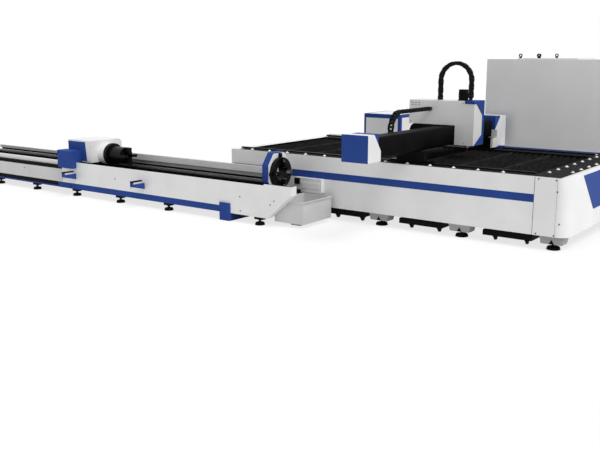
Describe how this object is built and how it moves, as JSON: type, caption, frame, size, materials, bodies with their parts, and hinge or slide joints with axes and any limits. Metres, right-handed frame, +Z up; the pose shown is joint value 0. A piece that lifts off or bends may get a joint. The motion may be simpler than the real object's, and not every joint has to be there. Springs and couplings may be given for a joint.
{
  "type": "laser cutting machine",
  "caption": "Fiber laser machine for plate and tube: flat bed with slat table, gantry with cutting head, side tube bed with chucks, and a cabinet behind.",
  "frame": {"origin": "Middle of the footprint, on the floor.", "axes": "+X along both beds towards the plate bed's right end, +Y from the tube bed to the cabinet, +Z up."},
  "size_m": [9.775, 4.46, 2.0215],
  "materials": {
    "white_paint": "satin powder coat",
    "blue_paint": "satin powder coat",
    "grey_paint": "satin powder coat",
    "black_paint": "satin paint",
    "slat_steel": "rough cut steel",
    "machined_steel": "machined",
    "head_metal": "anodised",
    "nozzle_copper": "turned copper",
    "chain_plastic": "moulded",
    "bellows_cloth": "coated pleated cloth",
    "ball_nylon": "moulded",
    "foot_rubber": "moulded"
  },
  "bodies": {
    "base": {"ball_transfers": "ball_nylon", "bed_end_cover": "white_paint", "bed_end_trim": "blue_paint", "bed_feet": "foot_rubber", "bed_frame": "grey_paint", "bed_front_panel": "white_paint", "bed_left_panel": "white_paint", "bed_rear_panel": "white_paint", "cabinet_body": "grey_paint", "drive_box": "grey_paint", "end_strip": "black_paint", "equipment_box": "blue_paint", "equipment_panel": "grey_paint", "front_chuck_face": "white_paint", "front_chuck_housing": "blue_paint", "gantry_rails": "machined_steel", "guide_beam": "white_paint", "hook_bars": "black_paint", "lifting_eyes": "black_paint", "rest_hooks": "blue_paint", "scrap_bin": "grey_paint", "slat_table": "slat_steel", "tube_base_rail": "blue_paint", "tube_feet": "foot_rubber", "tube_frame": "black_paint", "tube_front_cover": "white_paint", "tube_left_panel": "grey_paint", "tube_rails": "machined_steel", "tube_rear_cover": "grey_paint"},
    "gantry": {"gantry_beam": "black_paint", "gantry_saddles": "black_paint", "end_covers": "white_paint", "end_plates": "blue_paint", "beam_rails": "machined_steel", "bellows_front": "bellows_cloth", "bellows_rear": "bellows_cloth", "chain_lower": "chain_plastic"},
    "carriage": {"carriage_plate": "black_paint", "carriage_cover": "white_paint", "carriage_trim": "blue_paint", "lift_motor": "black_paint", "chain_upper": "chain_plastic", "lift_chain": "chain_plastic"},
    "lift": {"lift_slide": "machined_steel", "cutting_head": "head_metal", "nozzle": "nozzle_copper"},
    "chain_bend": {"chain_bend": "chain_plastic"},
    "tube_carriage": {"rear_base": "black_paint", "rear_housing": "white_paint", "rear_side_panel": "blue_paint", "rear_motor_cover": "blue_paint"},
    "rear_chuck": {"rear_chuck": "machined_steel"},
    "front_chuck": {"front_chuck_disc": "machined_steel"},
    "jaw_back": {"jaw_back": "machined_steel"},
    "jaw_top": {"jaw_top": "machined_steel"},
    "jaw_front": {"jaw_front": "machined_steel"},
    "jaw_bottom": {"jaw_bottom": "machined_steel"},
    "slag_cart_1": {"slag_cart_1": "black_paint"},
    "slag_cart_2": {"slag_cart_2": "black_paint"},
    "slag_cart_3": {"slag_cart_3": "black_paint"}
  },
  "joints": [
    {"name": "gantry_travel", "type": "slide", "parent": "base", "child": "gantry", "axis": [1, 0, 0], "range_m": [-1.63, 1.27]},
    {"name": "carriage_travel", "type": "slide", "parent": "gantry", "child": "carriage", "axis": [0, 1, 0], "range_m": [-1.48, 0.7], "deforming": ["bellows_front", "bellows_rear", "chain_upper"]},
    {"name": "lift_travel", "type": "slide", "parent": "carriage", "child": "lift", "axis": [0, 0, 1], "range_m": [-0.07, 0.04], "deforming": ["lift_chain"]},
    {"name": "chain_bend_travel", "type": "slide", "parent": "carriage", "child": "chain_bend", "axis": [0, 1, 0], "range_m": [-0.36, 0.75]},
    {"name": "tube_carriage_travel", "type": "slide", "parent": "base", "child": "tube_carriage", "axis": [1, 0, 0], "range_m": [-2.45, 2.5]},
    {"name": "rear_chuck_spin", "type": "hinge", "parent": "tube_carriage", "child": "rear_chuck", "pos_m": [-1.6875, -1.49, 0.6], "axis": [1, 0, 0], "continuous": true},
    {"name": "front_chuck_spin", "type": "hinge", "parent": "base", "child": "front_chuck", "pos_m": [1.4125, -1.49, 0.6], "axis": [1, 0, 0], "continuous": true},
    {"name": "jaw_top_travel", "type": "slide", "parent": "front_chuck", "child": "jaw_top", "axis": [0, 0, 1], "range_m": [-0.045, 0.012]},
    {"name": "jaw_back_travel", "type": "slide", "parent": "front_chuck", "child": "jaw_back", "axis": [0, 1, 0], "range_m": [-0.045, 0.012]},
    {"name": "jaw_front_travel", "type": "slide", "parent": "front_chuck", "child": "jaw_front", "axis": [0, -1, 0], "range_m": [-0.045, 0.012]},
    {"name": "jaw_bottom_travel", "type": "slide", "parent": "front_chuck", "child": "jaw_bottom", "axis": [0, 0, -1], "range_m": [-0.045, 0.012]},
    {"name": "slag_cart_1_travel", "type": "slide", "parent": "base", "child": "slag_cart_1", "axis": [0, 1, 0], "range_m": [0, 1.2]},
    {"name": "slag_cart_2_travel", "type": "slide", "parent": "base", "child": "slag_cart_2", "axis": [0, -1, 0], "range_m": [0, 1.2]},
    {"name": "slag_cart_3_travel", "type": "slide", "parent": "base", "child": "slag_cart_3", "axis": [0, -1, 0], "range_m": [0, 1.2]}
  ],
  "couplings": [
    {"joint": "chain_bend_travel", "follows": "carriage_travel", "ratio": -0.5},
    {"joint": "front_chuck_spin", "follows": "rear_chuck_spin", "ratio": 1},
    {"joint": "jaw_back_travel", "follows": "jaw_top_travel", "ratio": 1},
    {"joint": "jaw_front_travel", "follows": "jaw_top_travel", "ratio": 1},
    {"joint": "jaw_bottom_travel", "follows": "jaw_top_travel", "ratio": 1}
  ]
}
